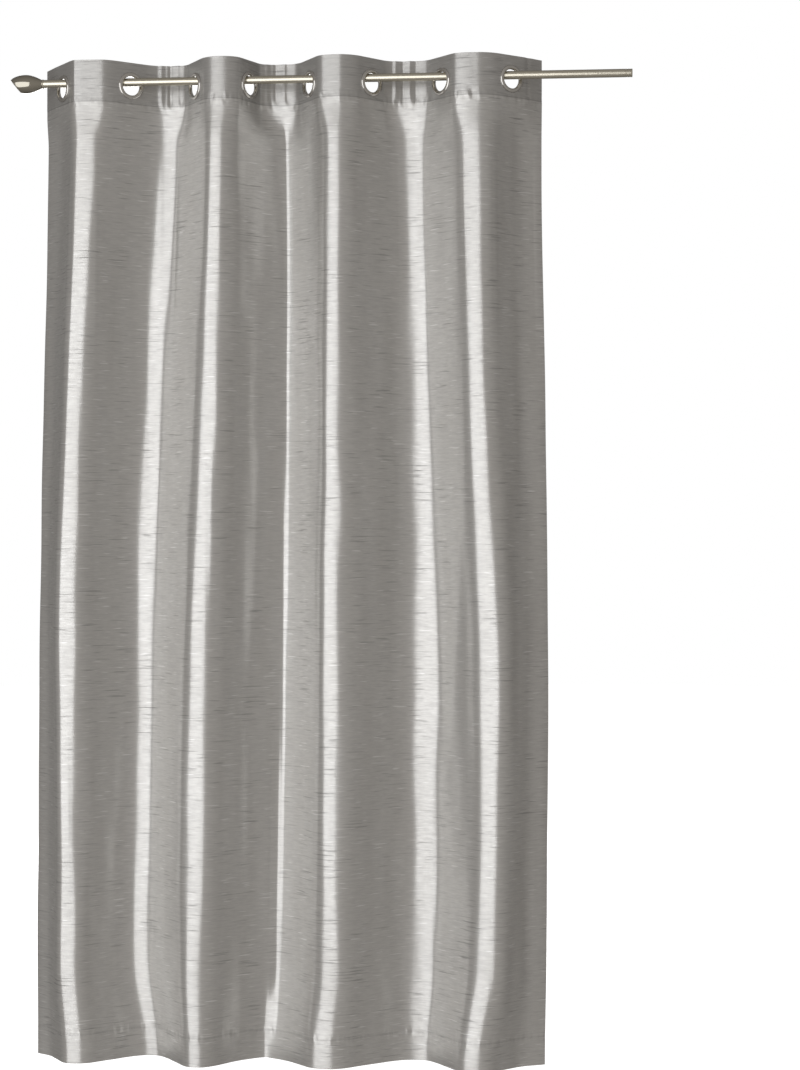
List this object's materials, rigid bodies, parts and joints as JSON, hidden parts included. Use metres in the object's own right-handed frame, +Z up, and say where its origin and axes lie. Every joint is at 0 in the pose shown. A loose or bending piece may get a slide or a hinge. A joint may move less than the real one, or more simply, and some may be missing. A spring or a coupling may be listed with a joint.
{
  "type": "eyelet curtain panel on a rod",
  "caption": "Full-length satin curtain panel with metal eyelets in a lined header, hanging in soft folds on a thin metal rod with a bud finial at one end.",
  "frame": {"origin": "on the rod's axis, above the middle of the hung panel", "axes": "+X along the rod, away from the finial; -Y out of the panel's show face; +Z up"},
  "size_m": [1.5201, 0.1336, 2.44],
  "materials": {
    "satin_cloth": "silver-grey faux silk satin with horizontal slubs",
    "header_lining": "matt woven interfacing in the cloth's colour",
    "polished_nickel": "polished nickel plate",
    "brushed_nickel": "warm satin nickel"
  },
  "bodies": {
    "rod": {"rod_tube": "brushed_nickel", "rod_end_cap": "brushed_nickel"},
    "finial": {"finial_collar": "brushed_nickel", "finial_pod": "brushed_nickel"},
    "leading_edge": {"cloth_leading_edge": "satin_cloth", "header_facing_edge": "header_lining", "bottom_hem_edge": "satin_cloth", "side_hem_left": "satin_cloth"},
    "leaf_1": {"cloth_leaf_1": "satin_cloth", "header_facing_1": "header_lining", "bottom_hem_1": "satin_cloth", "eyelet_front_1": "polished_nickel", "eyelet_back_1": "polished_nickel"},
    "leaf_2": {"cloth_leaf_2": "satin_cloth", "header_facing_2": "header_lining", "bottom_hem_2": "satin_cloth", "eyelet_front_2": "polished_nickel", "eyelet_back_2": "polished_nickel"},
    "leaf_3": {"cloth_leaf_3": "satin_cloth", "header_facing_3": "header_lining", "bottom_hem_3": "satin_cloth", "eyelet_front_3": "polished_nickel", "eyelet_back_3": "polished_nickel"},
    "leaf_4": {"cloth_leaf_4": "satin_cloth", "header_facing_4": "header_lining", "bottom_hem_4": "satin_cloth", "eyelet_front_4": "polished_nickel", "eyelet_back_4": "polished_nickel"},
    "leaf_5": {"cloth_leaf_5": "satin_cloth", "header_facing_5": "header_lining", "bottom_hem_5": "satin_cloth", "eyelet_front_5": "polished_nickel", "eyelet_back_5": "polished_nickel"},
    "leaf_6": {"cloth_leaf_6": "satin_cloth", "header_facing_6": "header_lining", "bottom_hem_6": "satin_cloth", "eyelet_front_6": "polished_nickel", "eyelet_back_6": "polished_nickel"},
    "leaf_7": {"cloth_leaf_7": "satin_cloth", "header_facing_7": "header_lining", "bottom_hem_7": "satin_cloth", "eyelet_front_7": "polished_nickel", "eyelet_back_7": "polished_nickel"},
    "leaf_8": {"cloth_leaf_8": "satin_cloth", "header_facing_8": "header_lining", "bottom_hem_8": "satin_cloth", "eyelet_front_8": "polished_nickel", "eyelet_back_8": "polished_nickel", "side_hem_right": "satin_cloth"}
  },
  "joints": [
    {"name": "finial_pull", "type": "slide", "parent": "rod", "child": "finial", "axis": [-1, 0, 0], "range_m": [0, 0.03]},
    {"name": "panel_draw", "type": "slide", "parent": "rod", "child": "leading_edge", "axis": [1, 0, 0], "range_m": [0, 0.21]},
    {"name": "panel_gather", "type": "hinge", "parent": "leading_edge", "child": "leaf_1", "pos_m": [-0.55525, 0, 0], "axis": [0, 0, -1], "range_deg": [0, 45]},
    {"name": "fold_1", "type": "hinge", "parent": "leaf_1", "child": "leaf_2", "pos_m": [-0.47087, -0.026, 0], "axis": [0, 0, 1], "range_deg": [0, 90]},
    {"name": "fold_2", "type": "hinge", "parent": "leaf_2", "child": "leaf_3", "pos_m": [-0.30712, 0.029, 0], "axis": [0, 0, -1], "range_deg": [0, 90]},
    {"name": "fold_3", "type": "hinge", "parent": "leaf_3", "child": "leaf_4", "pos_m": [-0.16096, -0.04, 0], "axis": [0, 0, 1], "range_deg": [0, 90]},
    {"name": "fold_4", "type": "hinge", "parent": "leaf_4", "child": "leaf_5", "pos_m": [-0.02032, 0.036, 0], "axis": [0, 0, -1], "range_deg": [0, 90]},
    {"name": "fold_5", "type": "hinge", "parent": "leaf_5", "child": "leaf_6", "pos_m": [0.12936, -0.034, 0], "axis": [0, 0, 1], "range_deg": [0, 90]},
    {"name": "fold_6", "type": "hinge", "parent": "leaf_6", "child": "leaf_7", "pos_m": [0.28959, 0.027, 0], "axis": [0, 0, -1], "range_deg": [0, 90]},
    {"name": "fold_7", "type": "hinge", "parent": "leaf_7", "child": "leaf_8", "pos_m": [0.45886, -0.026, 0], "axis": [0, 0, 1], "range_deg": [0, 90]}
  ],
  "couplings": [
    {"joint": "fold_1", "follows": "panel_gather", "ratio": 2},
    {"joint": "fold_2", "follows": "panel_gather", "ratio": 2},
    {"joint": "fold_3", "follows": "panel_gather", "ratio": 2},
    {"joint": "fold_4", "follows": "panel_gather", "ratio": 2},
    {"joint": "fold_5", "follows": "panel_gather", "ratio": 2},
    {"joint": "fold_6", "follows": "panel_gather", "ratio": 2},
    {"joint": "fold_7", "follows": "panel_gather", "ratio": 2}
  ]
}
